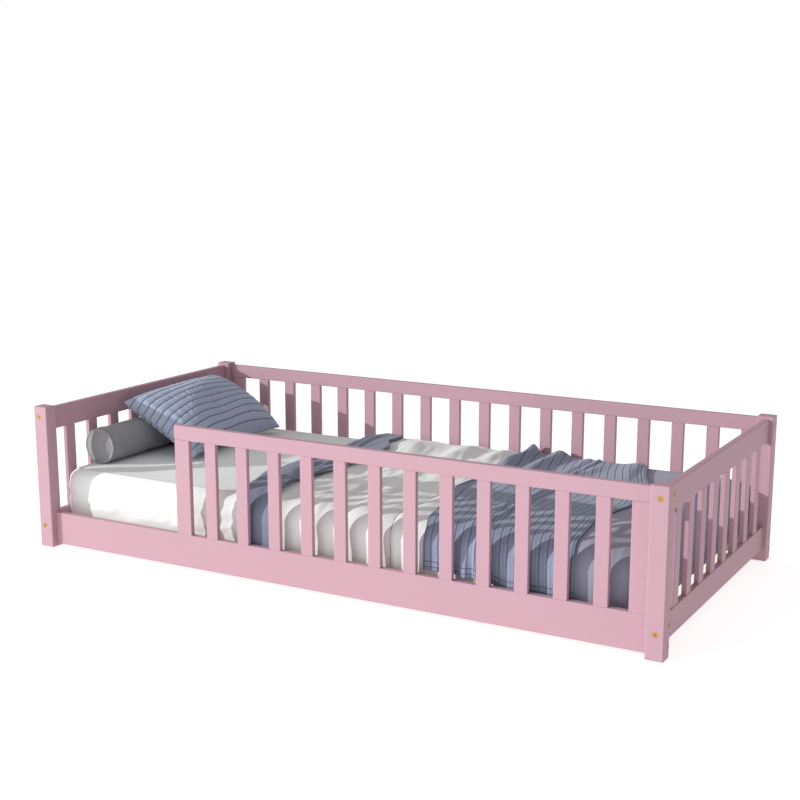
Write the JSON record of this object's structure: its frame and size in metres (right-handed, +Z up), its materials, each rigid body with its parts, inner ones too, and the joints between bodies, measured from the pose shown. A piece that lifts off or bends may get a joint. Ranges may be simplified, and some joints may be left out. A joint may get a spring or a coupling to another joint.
{
  "type": "toddler bed",
  "caption": "Low floor-level toddler bed in painted slatted wood with a side guard, an entrance gap, a mattress and loose bedding.",
  "frame": {"origin": "on the floor under the middle of the bed, at the bottom centre of its bounding box", "axes": "+Z up; +X along the bed towards the foot end; -Y is the front, the side with the guard and the entrance gap"},
  "size_m": [2.03, 0.986, 0.445],
  "materials": {
    "painted_wood": "satin pink paint",
    "brass": "aged brass",
    "zinc_steel": "zinc plated",
    "dowel_wood": "raw beech",
    "support_wood": "raw planed pine",
    "white_sheet": "woven cotton",
    "grey_jersey": "jersey knit",
    "blue_grey_quilting": "heathered quilting with dark stitching",
    "white_cotton": "washed cotton with a blue-grey reverse"
  },
  "bodies": {
    "frame": {"post_head_front": "painted_wood", "post_head_rear": "painted_wood", "post_foot_front": "painted_wood", "post_foot_rear": "painted_wood", "front_bottom_rail": "painted_wood", "guard_top_rail": "painted_wood", "guard_stile_entrance": "painted_wood", "guard_stile_foot": "painted_wood", "guard_slat_01": "painted_wood", "guard_slat_02": "painted_wood", "guard_slat_03": "painted_wood", "guard_slat_04": "painted_wood", "guard_slat_05": "painted_wood", "guard_slat_06": "painted_wood", "guard_slat_07": "painted_wood", "guard_slat_08": "painted_wood", "guard_slat_09": "painted_wood", "guard_slat_10": "painted_wood", "guard_slat_11": "painted_wood", "guard_slat_12": "painted_wood", "rear_bottom_rail": "painted_wood", "rear_top_rail": "painted_wood", "rear_stile_head": "painted_wood", "rear_stile_foot": "painted_wood", "rear_slats_head_half": "painted_wood", "rear_slats_foot_half": "painted_wood", "head_top_rail": "painted_wood", "head_bottom_rail": "painted_wood", "head_slat_1": "painted_wood", "head_slat_2": "painted_wood", "head_slat_3": "painted_wood", "head_slat_4": "painted_wood", "head_slat_5": "painted_wood", "head_slat_6": "painted_wood", "head_slat_7": "painted_wood", "head_slat_8": "painted_wood", "foot_top_rail": "painted_wood", "foot_bottom_rail": "painted_wood", "foot_slat_1": "painted_wood", "foot_slat_2": "painted_wood", "foot_slat_3": "painted_wood", "foot_slat_4": "painted_wood", "foot_slat_5": "painted_wood", "foot_slat_6": "painted_wood", "foot_slat_7": "painted_wood", "foot_slat_8": "painted_wood", "cross_bolts": "brass", "barrel_nuts": "zinc_steel", "locating_dowels": "dowel_wood", "front_cleat": "support_wood", "rear_cleat": "support_wood", "support_slats": "support_wood", "cleat_screws": "zinc_steel", "support_slat_screws": "zinc_steel"},
    "mattress": {"mattress": "white_sheet"},
    "bolster": {"bolster": "grey_jersey"},
    "pillow": {"pillow": "blue_grey_quilting"},
    "duvet": {"duvet": "white_cotton"},
    "throw": {"throw_blanket": "blue_grey_quilting"}
  },
  "joints": [
    {"name": "mattress_lift", "type": "slide", "parent": "frame", "child": "mattress", "axis": [0, 0, 1], "range_m": [0, 0.5]},
    {"name": "bolster_lift", "type": "slide", "parent": "mattress", "child": "bolster", "axis": [0, 0, 1], "range_m": [0, 0.5]},
    {"name": "pillow_lift", "type": "slide", "parent": "bolster", "child": "pillow", "axis": [0, 0, 1], "range_m": [0, 0.5]},
    {"name": "duvet_lift", "type": "slide", "parent": "mattress", "child": "duvet", "axis": [0, 0, 1], "range_m": [0, 0.5]},
    {"name": "throw_lift", "type": "slide", "parent": "duvet", "child": "throw", "axis": [0, 0, 1], "range_m": [0, 0.5]}
  ]
}
